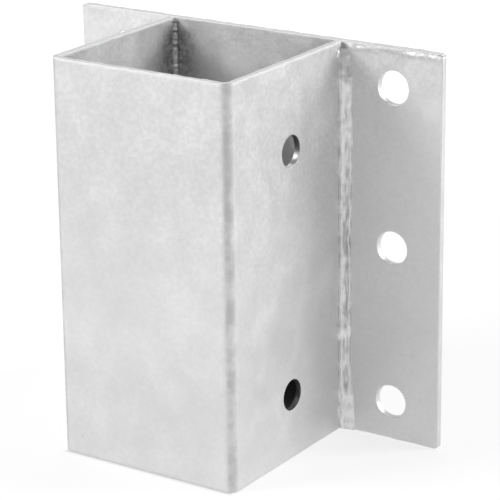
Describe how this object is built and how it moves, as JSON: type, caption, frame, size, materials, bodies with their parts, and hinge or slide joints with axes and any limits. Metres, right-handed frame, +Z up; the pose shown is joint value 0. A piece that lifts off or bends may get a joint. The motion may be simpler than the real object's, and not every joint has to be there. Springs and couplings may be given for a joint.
{
  "type": "wall-fixed timber post base",
  "caption": "Galvanised steel sleeve that holds a square timber post, welded to a flat back plate with screw flanges for a wall or joist.",
  "frame": {"origin": "centre of the back plate's back face, which lies against the wall", "axes": "+Y out of the back face into the wall, +Z up along the post, +X across the plate, to the right for someone facing the wall"},
  "size_m": [0.158, 0.0765, 0.15],
  "materials": {
    "galvanised_sleeve": "hot-dip galvanised, satin, faintly mottled",
    "galvanised_plate": "hot-dip galvanised, satin, faintly mottled",
    "galvanised_weld": "hot-dip galvanised over a rough weld"
  },
  "bodies": {
    "root": {"post_sleeve": "galvanised_sleeve", "back_plate": "galvanised_plate", "weld_right": "galvanised_weld", "weld_left": "galvanised_weld"}
  },
  "joints": []
}
